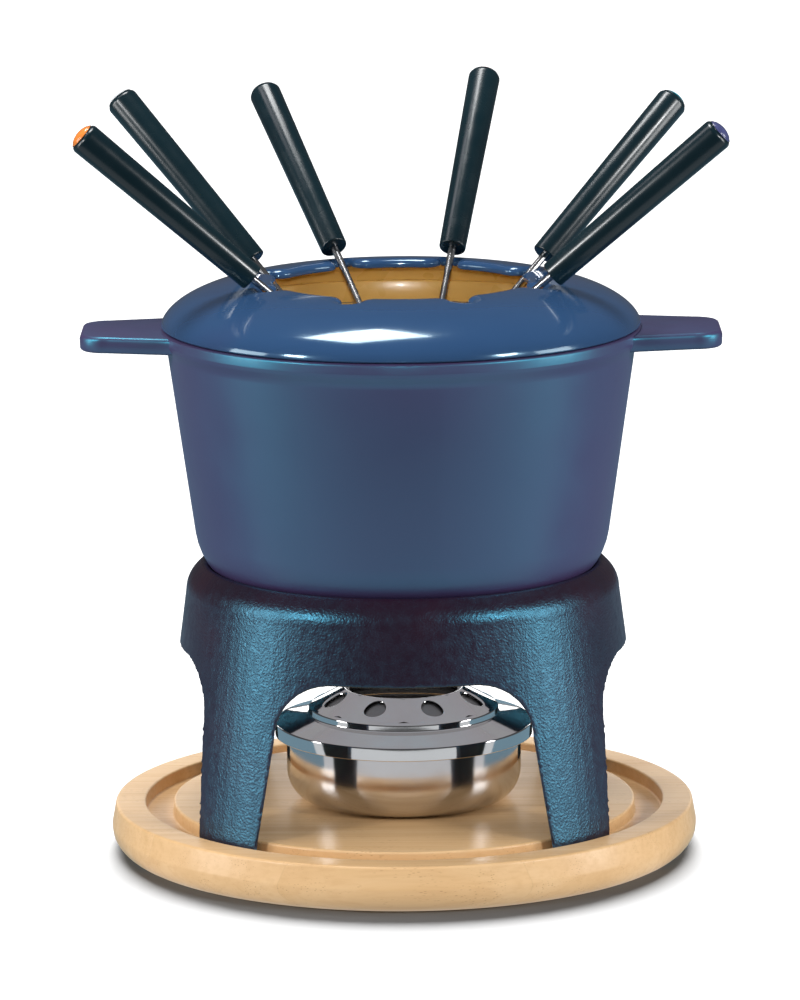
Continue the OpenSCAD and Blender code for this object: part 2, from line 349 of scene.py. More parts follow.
def pebbled_iron():
    """Dark blue matt enamel on rough sand-cast iron: crowded small bumps and a broken sheen."""
    m = Nodes("pebbled_iron")
    where = m.coords()
    swirl = m.add("ShaderNodeTexNoise", {"Vector": where, "Scale": 500.0}).outputs["Color"]
    warped = m.add("ShaderNodeVectorMath", {0: swirl, 1: (0.0012, 0.0012, 0.0012), 2: where},
                   operation="MULTIPLY_ADD").outputs[0]
    pebbles = m.voronoi(warped, 1100, feature="SMOOTH_F1")
    grain = m.noise(where, 1500, 3, 0.6)
    patches = m.noise(where, 26, 3)
    colour = m.ramp(patches, (0.3, (0.020, 0.006, 0.014)), (0.55, (0.026, 0.006, 0.015)),
                    (0.75, (0.034, 0.006, 0.014)))
    m.shade(Base_Color=colour, Roughness=m.between(m.noise(where, 300, 2), 0.3, 0.7, 0.28, 0.4),
            IOR=1.55, Specular_IOR_Level=0.95, Specular_Tint=(0.14, 0.68, 1.0, 1),
            Normal=m.bump(pebbles, 0.0002, 0.6, under=m.bump(grain, 0.00007, 0.4)))
    return m.material


def beech_wood():
    """Light hardwood glued up from staves that run along X, under a satin lacquer."""
    staves_per_m = 21.0
    first_stave = 0.35
    m = Nodes("beech_wood")
    where = m.coords()
    across = m.math("ADD", m.math("MULTIPLY", m.split(where)[1], staves_per_m), first_stave)
    seed = m.add("ShaderNodeTexWhiteNoise", {"W": m.math("FLOOR", across)},
                 noise_dimensions="1D").outputs["Value"]
    shift = m.add("ShaderNodeCombineXYZ", {0: m.math("MULTIPLY", seed, 3.0), 1: m.math("MULTIPLY", seed, 1.7),
                                           2: m.math("MULTIPLY", seed, 0.9)}).outputs[0]
    moved = m.add("ShaderNodeVectorMath", {0: where, 1: shift}, operation="ADD").outputs[0]

    broad = m.noise(m.stretch(moved, (2.0, 26.0, 26.0)), 1.6, 4, 0.55, 0.6)
    fine = m.noise(m.stretch(moved, (8.0, 320.0, 320.0)), 1.5, 3, 0.6)
    base = m.ramp(broad, (0.25, (0.63, 0.385, 0.175)), (0.55, (0.71, 0.455, 0.225)), (0.8, (0.77, 0.53, 0.29)))
    tone = m.mix(m.between(seed, 0, 1, 0.0, 0.35), base, (0.81, 0.57, 0.33))
    grained = m.mix(m.between(fine, 0.45, 0.8, 0, 0.42), tone, (0.56, 0.31, 0.13))

    flecks = m.voronoi(m.stretch(moved, (260.0, 1500.0, 1500.0)), 1.0)
    sparse = m.noise(m.stretch(moved, (20.0, 60.0, 60.0)), 2.0, 2)
    spot = m.math("MULTIPLY", m.between(flecks, 0.26, 0.12), m.between(sparse, 0.48, 0.62))
    flecked = m.mix(m.math("MULTIPLY", spot, 0.85), grained, (0.40, 0.20, 0.08))

    to_joint = m.math("ABSOLUTE", m.math("SUBTRACT", m.math("FRACT", across), 0.5))
    glue = m.between(to_joint, 0.4965, 0.4995)
    colour = m.mix(m.math("MULTIPLY", glue, 0.15), flecked, (0.42, 0.24, 0.11))
    m.shade(Base_Color=colour, Roughness=m.between(fine, 0.3, 0.8, 0.36, 0.5), Specular_IOR_Level=0.35,
            Coat_Weight=0.15, Coat_Roughness=0.2,
            Normal=m.bump(fine, 0.00006, 0.5, under=m.bump(spot, 0.00008, 0.3)))
    return m.material


def polished_steel(name, tint, low_rough, high_rough):
    """Spun and polished steel: rings of fine scratches and faint smears."""
    smeared = 0.86
    m = Nodes(name)
    where = m.coords()
    x, y, z = m.split(where)
    radius = m.math("SQRT", m.math("ADD", m.math("MULTIPLY", x, x), m.math("MULTIPLY", y, y)))
    turned = m.add("ShaderNodeCombineXYZ", {0: radius, 1: z, 2: 0.0}).outputs[0]
    rings = m.noise(turned, 2600, 3, 0.6)
    smear = m.noise(where, 55, 4, 0.6)
    m.shade(Base_Color=m.mix(m.between(smear, 0.3, 0.7, 0, 0.35), tint, tuple(c * smeared for c in tint)),
            Metallic=1.0, Roughness=m.between(smear, 0.3, 0.7, low_rough, high_rough),
            Normal=m.bump(rings, 0.00001, 0.35))
    return m.material


def rod_steel():
    """Drawn stainless rod, polished along its length."""
    m = Nodes("rod_steel")
    where = m.coords()
    smear = m.noise(where, 180, 3)
    m.shade(Base_Color=m.mix(m.between(smear, 0.3, 0.7, 0, 0.3), (0.52, 0.52, 0.53), (0.42, 0.42, 0.44)),
            Metallic=1.0, Roughness=m.between(smear, 0.3, 0.7, 0.2, 0.3),
            Normal=m.bump(m.noise(where, 2400, 2), 0.00001, 0.4))
    return m.material


def fork_plastic():
    """Near-black moulded plastic with a satin skin."""
    m = Nodes("fork_plastic")
    where = m.coords()
    skin = m.noise(where, 1600, 2)
    tone = m.noise(where, 25, 2)
    m.shade(Base_Color=m.ramp(tone, (0.35, (0.002, 0.013, 0.019)), (0.7, (0.004, 0.018, 0.025))),
            Roughness=m.between(m.noise(where, 120, 3), 0.3, 0.7, 0.22, 0.3), Specular_IOR_Level=0.5,
            Normal=m.bump(skin, 0.00001, 0.3))
    return m.material


def cap_plastic(name, colour):
    """Glossy coloured plastic of a marker cap."""
    shaded = 0.82
    m = Nodes(name)
    where = m.coords()
    tone = m.noise(where, 300, 2)
    m.shade(Base_Color=m.mix(m.between(tone, 0.35, 0.65), tuple(c * shaded for c in colour), colour),
            Roughness=m.between(tone, 0.3, 0.7, 0.2, 0.3), Coat_Weight=0.4, Coat_Roughness=0.08,
            Normal=m.bump(m.noise(where, 900, 2), 0.00002, 0.3))
    return m.material


def mineral_wool():
    """Matted pale fibres that lie mostly level."""
    m = Nodes("mineral_wool")
    fibres = m.noise(m.coords((1.0, 1.0, 6.0)), 500, 5, 0.7, 1.5)
    m.shade(Base_Color=m.ramp(fibres, (0.3, (0.42, 0.38, 0.29)), (0.7, (0.75, 0.72, 0.62))), Roughness=0.95,
            Normal=m.bump(fibres, 0.0008, 0.8))
    return m.material


def wire_gauze():
    """Woven wire: crossing waves along X and Y."""
    waves = 2600.0
    m = Nodes("wire_gauze")
    x, y = m.split(m.coords())[:2]
    along, across = (m.math("ABSOLUTE", m.math("SINE", m.math("MULTIPLY", axis, waves))) for axis in (x, y))
    weave = m.math("MAXIMUM", along, across)
    m.shade(Base_Color=m.ramp(weave, (0.3, (0.03, 0.03, 0.03)), (0.8, (0.5, 0.49, 0.46))), Metallic=0.9,
            Roughness=m.between(weave, 0.0, 1.0, 0.6, 0.3), Normal=m.bump(weave, 0.0003, 0.8))
    return m.material


# ---------------------------------------------------------------- wooden base

def build_base(material):
    groove_in = 97.3 * MM
    groove_out = 109.1 * MM
    lower = 9.5 * MM
    outline = rounded([
        (0, 0, 0), (BASE_R - 0.2 * MM, 0, lower), (BASE_R, lower + 1.2 * MM, 6 * MM),
        (BASE_R - 1.7 * MM, BASE_TOP, 1.4 * MM), (groove_out, BASE_TOP, 0.8 * MM),
        (groove_out, GROOVE_FLOOR, 0.9 * MM), (groove_in, GROOVE_FLOOR, 0.9 * MM),
        (groove_in, BASE_TOP, 1.1 * MM), (0, BASE_TOP, 0)], 8)
    board = lathe("wood_board", outline, closed=False, crease=0)
    return place(board, "base", ["wooden_base"], material)


# ---------------------------------------------------------------- stand

def vertex_values(mesh, kind):
    """Each vertex's "co" or "normal", as rows of three."""
    values = np.empty(len(mesh.vertices) * 3)
    mesh.vertices.foreach_get(kind, values)
    return values.reshape(-1, 3)


def build_stand(material):
    """The CAD casting, remeshed finely so that its edges round off and its skin can be pebbled."""
    pebble, pebble_high = 600, 0.012 * MM
    wave, wave_high = 45, 0.05 * MM
    obj = add_object("stand_casting", frame["nodes"]["stand"].data.copy())
    remesh = obj.modifiers.new("remesh", "REMESH")
    remesh.mode = "VOXEL"
    remesh.voxel_size = 0.75 * MM
    soften = obj.modifiers.new("soften", "SMOOTH")
    soften.factor = 0.5
    soften.iterations = 6
    mesh = apply_modifiers(obj)
    co = vertex_values(mesh, "co")
    lift = np.array([noise.noise(Vector(p) * pebble) for p in co])
    swell = np.array([noise.noise(Vector(p) * wave) for p in co])
    co = co + vertex_values(mesh, "normal") * (lift * pebble_high + swell * wave_high)[:, None]
    co[:, 2] = np.maximum(co[:, 2], GROOVE_FLOOR)
    mesh.vertices.foreach_set("co", co.ravel())
    mesh.update()
    smooth(mesh)
    mesh.materials.clear()
    place(obj, "stand", ["stand"], material)


# ---------------------------------------------------------------- pot

def pot_wall_r(z):
    """Radius of the pot's straight outer wall at height z."""
    known_r, known_z, slope = 86.8 * MM, 135.2 * MM, 0.1385
    return known_r + slope * (z - known_z)


def build_pot(outside, inside):
    """The pot with its two tabs. Faces of the lining take the inside material."""
    wall = 4.5 * MM
    slope_top = RIM_TOP - 9.5 * MM
    floor = POT_Z + 5 * MM
    lip_r = 93.9 * MM
    shell = rounded([
        (0, POT_Z, 0), (pot_wall_r(POT_Z) - 0.2 * MM, POT_Z, 30 * MM),
        (pot_wall_r(slope_top), slope_top, 9 * MM),
        (RIM_R - 0.5 * MM, RIM_TOP - 6 * MM, 2 * MM), (RIM_R, RIM_TOP - 4.4 * MM, 1.5 * MM),
        (RIM_R, RIM_TOP, 1.3 * MM), (lip_r, RIM_TOP, 1 * MM)], 10)
    lining = rounded([
        (lip_r, RIM_TOP, 1 * MM), (pot_wall_r(RIM_TOP - 5 * MM) - wall, RIM_TOP - 5 * MM, 1 * MM),
        (pot_wall_r(floor) - wall, floor, 25.5 * MM), (0, floor, 0)], 10)[1:]
    body = lathe("pot_shell", shell[:-1] + lining, closed=False, crease=0)
    handles = [pot_handle(side) for side in (-1, 1)]
    obj = place(join("pot_body", [body] + handles), "pot", ["pot"], outside)
    obj.data.materials.append(inside)
    inner_r = lip_r + 0.4 * MM
    for face in obj.data.polygons:
        inward = math.hypot(face.center.x, face.center.y) < inner_r and face.center.z > floor - 0.5 * MM
        face_r = Vector((face.center.x, face.center.y, 0)).normalized()
        if inward and (face.normal.z > 0.5 or face.normal.dot(face_r) < -0.2):
            face.material_index = 1
    return obj


def handle_plan():
    """Outline of the tab seen from above, for the side towards +X."""
    root_r = 94.5 * MM
    root_w, tip_w, flare = 30.5 * MM, 23 * MM, 1.5 * MM
    corner = 11 * MM
    steps, arc = 18, 12
    corner_x, corner_y = HANDLE_REACH - corner, tip_w - corner
    root_x = math.sqrt(root_r ** 2 - root_w ** 2)
    plan = []
    for k in range(steps + 1):
        t = k / steps
        plan.append(Vector((lerp(root_x, corner_x, t), lerp(root_w, tip_w, t) + flare * max(0.0, 1 - t * 3) ** 2)))
    plan[0].y = root_w
    for k in range(1, arc):
        a = math.radians(90 - 90 * k / arc)
        plan.append(Vector((corner_x + corner * math.cos(a), corner_y + corner * math.sin(a))))
    plan += [Vector((p.x, -p.y)) for p in reversed(plan)]
    half_turn = math.asin(root_w / root_r)
    for k in range(1, arc):
        a = lerp(-half_turn, half_turn, k / arc)
        plan.append(Vector((root_r * math.cos(a), root_r * math.sin(a))))
    return plan


def pot_handle(side):
    """A flat tab with a rounded end and rounded edges. Its root follows the rim, inside the pot's wall."""
    thick = 7 * MM
    mid = RIM_TOP - 0.9 * MM - thick / 2
    edge = 1.9 * MM
    levels = 9
    plan = handle_plan()
    count = len(plan)
    normals = []
    for i in range(count):
        along = (plan[(i + 1) % count] - plan[i - 1]).normalized()
        normals.append(Vector((-along.y, along.x)))
    verts = []
    for k in range(levels):
        a = math.radians(90 - 180 * k / (levels - 1))
        inset = edge * (1 - math.cos(a))
        z = mid + (thick / 2 - edge) * (1 if k <= levels // 2 else -1) + edge * math.sin(a)
        for p, n in zip(plan, normals):
            verts.append((side * (p.x - n.x * inset), p.y - n.y * inset, z))
    obj = new_object("pot_handle_tab", verts, grid_faces(levels, count) + end_faces(levels, count))
    fix_normals(obj)
    smooth(obj.data, 50)
    return obj


# ---------------------------------------------------------------- fork ring

DOME_POWER = 1.8
CREST_R = 56.5 * MM
OPENING_R = 53 * MM
DOME_Z = RIM_TOP + 0.3 * MM
RING_WALL = 4 * MM
NOTCHES = 8
NOTCH_HALF = 4 * MM
NOTCH_REACH = 64 * MM
NOTCH_TURN = math.radians(2)
LOBE_CORNER = 7 * MM
BLEND_R = 74 * MM
SPIGOT_R = 92.6 * MM
SPIGOT_Z = RIM_TOP - 4.6 * MM
UNDER_LIP = 1.3 * MM
UNDER_END = 88.6 * MM


def dome_z(r):
    """Height of the ring's top at radius r."""
    t = min(max((r - CREST_R) / (RIM_R - CREST_R), 0.0), 1.0)
    return DOME_Z + (CREST_Z - DOME_Z) * (1 - t ** DOME_POWER) ** (1 / DOME_POWER)


def under_z(r):
    """Height of the ring's underside at radius r."""
    low_z = DOME_Z + 2.6 * MM
    t = min(max((r - CREST_R) / (RIM_R - CREST_R - 6 * MM), 0.0), 1.0)
    return low_z + (CREST_Z - RING_WALL - low_z) * (1 - t ** DOME_POWER) ** (1 / DOME_POWER)


def notch_outline():
    """One eighth of the opening's edge, from the middle of a lobe to the middle of the next, notch along +X."""
    half_pitch = math.pi / NOTCHES
    corner_r = OPENING_R + LOBE_CORNER
    corner_a = math.asin((NOTCH_HALF + LOBE_CORNER) / corner_r)
    cx, cy = corner_r * math.cos(corner_a), NOTCH_HALF + LOBE_CORNER
    side = []
    for k in range(14):
        a = lerp(half_pitch, corner_a, k / 14)
        side.append((OPENING_R * math.cos(a), OPENING_R * math.sin(a), 0.0))
    for k in range(11):
        a = lerp(math.pi + corner_a, 1.5 * math.pi, k / 10)
        side.append((cx + LOBE_CORNER * math.cos(a), cy + LOBE_CORNER * math.sin(a), k / 10))
    end_x = NOTCH_REACH - NOTCH_HALF
    for k in range(1, 4):
        side.append((lerp(cx, end_x, k / 4), NOTCH_HALF, 1.0))
    for k in range(13):
        a = math.radians(90 - 90 * k / 12)
        side.append((end_x + NOTCH_HALF * math.cos(a), NOTCH_HALF * math.sin(a), 1.0))
    mirrored = [(x, -y, w) for x, y, w in reversed(side[:-1])]
    return side + mirrored[:-1]


def opening_edge():
    """Points (x, y, w) all round the opening: w is 1 in a notch, 0 on a lobe."""
    edge = []
    for k in range(NOTCHES):
        turn = TAU * (k + 0.5) / NOTCHES - math.pi / 2 + NOTCH_TURN
        c, s = math.cos(turn), math.sin(turn)
        edge += [(x * c - y * s, x * s + y * c, w) for x, y, w in reversed(notch_outline())]
    return edge


def edge_normals(points):
    """Level unit vectors away from the opening, one at each point of its edge."""
    normals = []
    for i in range(len(points)):
        along = points[(i + 1) % len(points)] - points[i - 1]
        normals.append(Vector((along.y, -along.x)).normalized())
    return normals


def spread_angles(points):
    """The points' angles about Z, moved three quarters of the way to an even spacing."""
    angles = np.unwrap([math.atan2(p.y, p.x) for p in points])
    even = angles[0] + TAU * np.arange(len(points)) / len(points)
    return np.array([lerp(a, e, 0.75) for a, e in zip(angles, even)])


def round_row(angles, r, z):
    return [(r * math.cos(a), r * math.sin(a), z) for a in angles]


def dome_rows(angles):
    """From the rim's lower edge up the dome, to where the rows start to bend towards the opening."""
    rows = []
    for r, z in rounded([(SPIGOT_R, DOME_Z, 0.4 * MM), (RIM_R - 0.8 * MM, DOME_Z, 0.6 * MM),
                         (RIM_R - 0.3 * MM, DOME_Z + 0.9 * MM, 0)], 3)[1:]:
        rows.append(round_row(angles, r, z))
    steps = 30
    for k in range(1, steps):
        a = math.radians(90 * k / steps)
        r = CREST_R + (RIM_R - CREST_R) * math.cos(a) ** (2 / DOME_POWER)
        if r <= BLEND_R:
            break
        rows.append(round_row(angles, r, dome_z(r)))
    rows.append(round_row(angles, BLEND_R, dome_z(BLEND_R)))
    return rows


def opening_rows(edge, points, outward, angles):
    """Across the lobes to the opening's edge, over its roll and down its inner face."""
    roll_tip, roll_notch = 3.6 * MM, 4 * MM
    drop_tip, drop_notch = 2.2 * MM, 2.9 * MM
    flat_rows, roll_rows, face_rows = 9, 10, 5
    rolls = [lerp(roll_tip, roll_notch, e[2]) for e in edge]
    drops = [lerp(drop_tip, drop_notch, e[2]) for e in edge]
    rows = []
    for k in range(1, flat_rows):
        row = []
        for p, n, a, roll in zip(points, outward, angles, rolls):
            start = Vector((math.cos(a), math.sin(a))) * BLEND_R
            q = start.lerp(p + n * roll, k / flat_rows)
            row.append((q.x, q.y, dome_z(q.length)))
        rows.append(row)
    for k in range(roll_rows + 1):
        a = math.radians(90 * k / roll_rows)
        row = []
        for p, n, roll, drop in zip(points, outward, rolls, drops):
            q = p + n * roll * (1 - math.sin(a))
            row.append((q.x, q.y, dome_z(q.length) - drop * (1 - math.cos(a))))
        rows.append(row)
    for k in range(face_rows + 1):
        a = math.radians(90 * k / face_rows)
        row = []
        for p, n in zip(points, outward):
            q = p + n * UNDER_LIP * (1 - math.cos(a))
            row.append((q.x, q.y, under_z(q.length) + 1.0 * MM * (1 - math.sin(a))))
        rows.append(row)
    return rows


def under_rows(points, outward, angles):
    """Along the underside from the opening to the spigot, and round the spigot."""
    bend_rows = 6
    spigot_in = SPIGOT_R - 3 * MM
    rows = []
    for k in range(1, bend_rows + 1):
        row = []
        for p, n, a in zip(points, outward, angles):
            end = Vector((math.cos(a), math.sin(a))) * BLEND_R
            q = (p + n * UNDER_LIP).lerp(end, k / bend_rows)
            row.append((q.x, q.y, under_z(q.length)))
        rows.append(row)
    for r in (78 * MM, 82 * MM, 86 * MM, UNDER_END):
        rows.append(round_row(angles, r, under_z(r)))
    for r, z in rounded([(spigot_in, under_z(UNDER_END), 0.8 * MM), (spigot_in, SPIGOT_Z, 0.6 * MM),
                         (SPIGOT_R, SPIGOT_Z, 0.6 * MM), (SPIGOT_R, DOME_Z, 0.4 * MM)], 3)[:-1]:
        rows.append(round_row(angles, r, z))
    return rows


def build_fork_ring(outside, inside):
    """The domed ring as one closed band of rows. Its underside, short of the spigot, takes the inside material."""
    spigot_rows = 9
    edge = opening_edge()
    points = [Vector(e[:2]) for e in edge]
    outward = edge_normals(points)
    angles = spread_angles(points)
    rows = dome_rows(angles) + opening_rows(edge, points, outward, angles)
    first_under = len(rows)
    rows += under_rows(points, outward, angles)
    count = len(edge)
    verts = [v for row in rows for v in row]
    obj = new_object("ring_dome", verts, grid_faces(len(rows), count, wrap_rows=True))
    fix_normals(obj)
    smooth(obj.data, 60)
    place(obj, "ring", ["fork_ring"], outside)
    obj.data.materials.append(inside)
    for face in obj.data.polygons:
        face_rows = [v // count for v in face.vertices]
        if max(face_rows) < len(rows) - spigot_rows and min(face_rows) >= first_under:
            face.material_index = 1
    return obj


# ---------------------------------------------------------------- burner

BOWL_FOOT = 39 * MM
STEP_R = 40 * MM
FLANGE_Z = 56.7 * MM
STEP_Z = 59.7 * MM
FLAME_R = 24.4 * MM
VENT_R = 4.5 * MM
VENT_AT = 31 * MM
VENTS = 8
SHEET = 0.9 * MM


def bowl_wall(inset):
    """Quarter-round corner of the bowl from its foot to its side, inset by the sheet's thickness or by 0."""
    steps = 14
    rise = 13 * MM
    points = []
    for k in range(steps + 1):
        a = math.radians(90 - 90 * k / steps)
        points.append((BOWL_FOOT + (BOWL_R - BOWL_FOOT - inset) * math.cos(a),
                       BOWL_Z + rise - (rise - inset) * math.sin(a)))
    return points


def build_burner(steel, chrome, dull, wool, gauze):
    """The bowl with what it holds, and the cover and shutter that lift off it."""
    wall = 1.2 * MM
    clamp_in = 43 * MM
    rim = rounded([
        (BOWL_R, BOWL_TOP - 6 * MM, 0), (BOWL_R, BOWL_TOP, 0.5 * MM), (BOWL_R - wall, BOWL_TOP, 0.5 * MM),
        (BOWL_R - wall, BOWL_TOP - 6 * MM, 0)], 4)
    bowl = [(0, BOWL_Z)] + bowl_wall(0) + [(p.x, p.y) for p in rim] + bowl_wall(wall)[::-1] + [(0, BOWL_Z + wall)]

    low_c, high_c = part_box("burner_pad")
    pad = rounded([(0, low_c.z, 0), (BOWL_FOOT, low_c.z, 1 * MM), (high_c.y, low_c.z + 8 * MM, 3 * MM),
                   (high_c.y, high_c.z, 1 * MM), (0, high_c.z, 0)], 5)

    low_c, high_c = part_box("burner_gauze")
    disc = rounded([(0, low_c.z, 0), (high_c.y, low_c.z, 0.3 * MM), (high_c.y, high_c.z, 0.3 * MM),
                    (0, high_c.z, 0)], 3)

    low_c, high_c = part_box("burner_gauze_ring")
    clamp = rounded([(clamp_in, low_c.z, 0.5 * MM), (high_c.y, low_c.z, 0.3 * MM),
                     (high_c.y, high_c.z, 0.3 * MM), (clamp_in, high_c.z, 1.1 * MM)], 4)
    bowl = lathe("spirit_bowl", bowl, closed=False, crease=60)
    return [
        place(bowl, "burner", ["burner_bowl"], steel),
        place(lathe("wool_pad", pad, closed=False), "burner", ["burner_pad"], wool),
        place(lathe("wire_disc", disc, closed=False), "burner", ["burner_gauze"], gauze),
        place(lathe("clamp_ring", clamp), "burner", ["burner_gauze_ring"], steel),
        build_cover(chrome), build_regulator(dull)]


def cone_z(r):
    """Height of the cover's cone at radius r."""
    return STEP_Z + (CONE_TOP - STEP_Z) * (STEP_R - r) / (STEP_R - FLAME_R)


def hole_rays(inner, outer, hole_at, half_sector, around=48):
    """Directions round a hole's centre, each with the distance to the edge of the hole's own sector."""
    rays = []
    for j in range(around):
        a = TAU * j / around
        d = Vector((math.cos(a), math.sin(a)))
        lengths = []
        if abs(d.x) > NEARLY_ZERO:
            lengths.append(((outer if d.x > 0 else inner) - hole_at) / d.x)
        if abs(d.y) > NEARLY_ZERO:
            lengths.append(half_sector * hole_at / abs(d.y))
        rays.append((d, min(lengths)))
    return rays


def holed_cone(name, inner, outer, height, turn, edge_drop):
    """A cone of sheet with round holes whose edges are pressed down. height(r) gives its top."""
    verts, faces = [], []
    sector = TAU / VENTS
    flat_rows, edge_rows = 6, 5
    edge_w = 0.8 * MM
    rays = hole_rays(inner, outer, VENT_AT, sector / 2)
    for k in range(VENTS):
        mid = sector * k + turn
        first = len(verts)
        for i in range(flat_rows + edge_rows):
            for d, far in rays:
                if i < flat_rows:
                    s = lerp(VENT_R + edge_w, far, (1 - i / flat_rows) ** 1.3)
                    sink = 0
                else:
                    b = math.radians(90 * (i - flat_rows) / (edge_rows - 1))
                    s = VENT_R + edge_w * (1 - math.sin(b))
                    sink = edge_drop * (1 - math.cos(b))
                r = VENT_AT + d.x * s
                a = mid + d.y * s / VENT_AT
                verts.append((r * math.cos(a), r * math.sin(a), height(r) - sink))
        faces += [tuple(first + v for v in f) for f in grid_faces(flat_rows + edge_rows, len(rays))]
    obj = new_object(name, verts, faces)
    fix_normals(obj, merge=0.02 * MM, face_up=True)
    solid = obj.modifiers.new("sheet", "SOLIDIFY")
    solid.thickness = SHEET * 0.9
    solid.offset = -1
    smooth(apply_modifiers(obj), 50)
    return obj


def build_cover(material):
    """Skirt, sloping flange, step, holed cone and flame opening, all of one sheet."""
    outer_cone = STEP_R - 1.2 * MM
    inner_cone = FLAME_R + 0.9 * MM
    skirt_top = 53.2 * MM
    lip_z = CONE_TOP - 2.2 * MM
    outline = rounded([
        (SKIRT_R, SKIRT_Z, 0.3 * MM), (SKIRT_R, skirt_top, 0.9 * MM), (STEP_R, FLANGE_Z, 0.7 * MM),
        (STEP_R, STEP_Z - 0.2 * MM, 1.0 * MM), (outer_cone, cone_z(outer_cone), 0),
        (outer_cone, cone_z(outer_cone) - SHEET, 0), (STEP_R - SHEET, STEP_Z - 0.9 * MM, 0.2 * MM),
        (STEP_R - SHEET, FLANGE_Z - SHEET, 0.3 * MM), (SKIRT_R - SHEET, skirt_top - SHEET, 0.4 * MM),
        (SKIRT_R - SHEET, SKIRT_Z, 0.3 * MM)], 6)
    skirt = lathe("cover_skirt", outline, crease=60)
    lip = rounded([
        (inner_cone, cone_z(inner_cone), 0), (FLAME_R, CONE_TOP, 0.7 * MM),
        (FLAME_R, lip_z, 0.3 * MM), (FLAME_R + 0.8 * MM, lip_z, 0.3 * MM),
        (inner_cone, cone_z(inner_cone) - SHEET, 0)], 5)
    mouth = lathe("cover_mouth", lip, crease=60)
    cone = holed_cone("cover_cone", inner_cone, outer_cone, cone_z, TAU / VENTS / 2, 0.7 * MM)
    return place(join("vent_cover", [skirt, mouth, cone]), "cover", ["burner_cover"], material)


def build_regulator(material):
    """The shutter, a holed cone just under the cover's, with a lever at the back to turn it by."""
    drop = 1.9 * MM
    inner, outer = 23.2 * MM, 38.2 * MM
    root, root_z = 36.8 * MM, 57.8 * MM

    def height(r):
        return cone_z(r) - drop

    cone = holed_cone("shutter_cone", inner, outer, height, 0.0, 0.2 * MM)
    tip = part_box("burner_regulator")[1]
    lever = lever_strip(root, tip.y, root_z, tip.z)
    return place(join("vent_shutter", [cone, lever]), "regulator", ["burner_regulator"], material)


def lever_strip(root, end, z, tip_z):
    """A bent strip with a narrowed tip, from the shutter out over the cover's flange."""
    half, thick, bend = 4 * MM, 1 * MM, 2 * MM
    corner = 0.3 * MM
    steps = 6
    mid_z = z + thick / 2
    upright = end - thick / 2
    path = [(root, mid_z), (upright - bend, mid_z)]
    for k in range(1, steps + 1):
        a = math.radians(90 * k / steps)
        path.append((upright - bend + bend * math.sin(a), mid_z + bend * (1 - math.cos(a))))
    path += [(upright, tip_z - 1.4 * MM), (upright, tip_z - 0.4 * MM), (upright, tip_z)]
    widths = [1.0] * (len(path) - 2) + [0.9, 0.72]
    section = rounded([(-half, -thick / 2, corner), (half, -thick / 2, corner), (half, thick / 2, corner),
                       (-half, thick / 2, corner)], 3)
    verts = []
    for i, (y, zz) in enumerate(path):
        before = Vector(path[max(i - 1, 0)])
        after = Vector(path[min(i + 1, len(path) - 1)])
        along = (after - before).normalized()
        up = Vector((-along.y, along.x))
        for p in section:
            verts.append((p.x * widths[i], y + up.x * p.y, zz + up.y * p.y))
    count = len(section)
    obj = new_object("lever", verts, grid_faces(len(path), count) + end_faces(len(path), count))
    fix_normals(obj)
    smooth(obj.data, 50)
    return obj


# ---------------------------------------------------------------- forks

# Height above the tip at which the round rod runs into the flat of the prongs.
ROD_JOIN = 29 * MM
# Colours of the marker caps.
CAP_COLOURS = {
    1: (0.90, 0.27, 0.045), 2: (0.82, 0.84, 0.86), 3: (0.50, 0.33, 0.07),
    4: (0.36, 0.055, 0.03), 5: (0.012, 0.20, 0.28), 6: (0.065, 0.075, 0.20)}


def node_points(node):
    return np.array([v.co for v in frame["nodes"][node].data.vertices])


def fork_place(k):
    """Matrix of fork k: origin at the lower end of its handle, +Z up the fork, +X level. Also its two lengths."""
    end_band = 0.05 * MM
    axis = next(Vector(j["axis"]) for j in frame["joints"] if j["name"] == f"fork_{k}_pull").normalized()
    level = Vector((0, 0, 1)).cross(axis).normalized()
    other = axis.cross(level)
    handle = node_points(f"fork_{k}_handle")
    along = handle @ np.array(axis)
    end = handle[along < along.min() + end_band]
    start = axis * float(along.min())
    for direction in (level, other):
        side = end @ np.array(direction)
        start = start + direction * float(side.max() + side.min()) / 2
    rod = node_points(f"fork_{k}_rod") @ np.array(axis)
    matrix = Matrix((level, other, axis)).transposed().to_4x4()
    matrix.translation = start
    return matrix, float(along.max() - along.min()), float(along.min() - rod.min())


